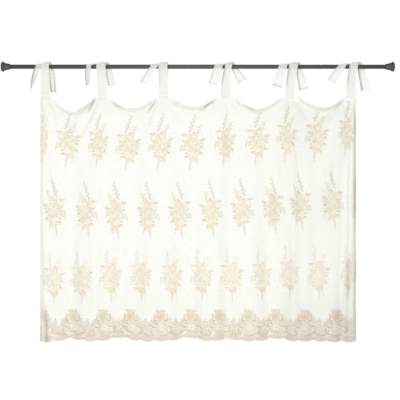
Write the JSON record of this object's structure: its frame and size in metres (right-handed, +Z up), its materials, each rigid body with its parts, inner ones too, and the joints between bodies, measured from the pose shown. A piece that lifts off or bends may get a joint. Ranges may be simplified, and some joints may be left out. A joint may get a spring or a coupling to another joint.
{
  "type": "tie-top cafe curtain on a rod",
  "caption": "Sheer net cafe curtain with embroidered flower sprays and a scalloped hem, tied by cloth strips to a plain round rod with flared end caps.",
  "frame": {"origin": "on the rod's axis, halfway between the two caps' outer faces", "axes": "+X along the rod to the right as the room sees it, +Y to the window, +Z up"},
  "size_m": [1.614, 0.0868, 1.1512],
  "materials": {
    "rod_steel": "dark grey satin paint",
    "cap_rubber": "dark grey soft rubber",
    "net": "sheer ivory net",
    "tie_cloth": "plain sheer ivory cloth",
    "embroidery": "cream embroidery thread"
  },
  "bodies": {
    "root": {"rod": "rod_steel", "cap_left": "cap_rubber", "cap_right": "cap_rubber", "panel": "net", "tie_1_front": "tie_cloth", "tie_1_back": "tie_cloth", "tie_2_front": "tie_cloth", "tie_2_back": "tie_cloth", "tie_3_front": "tie_cloth", "tie_3_back": "tie_cloth", "tie_4_front": "tie_cloth", "tie_4_back": "tie_cloth", "tie_5_front": "tie_cloth", "tie_5_back": "tie_cloth", "tie_6_front": "tie_cloth", "tie_6_back": "tie_cloth"}
  },
  "joints": []
}
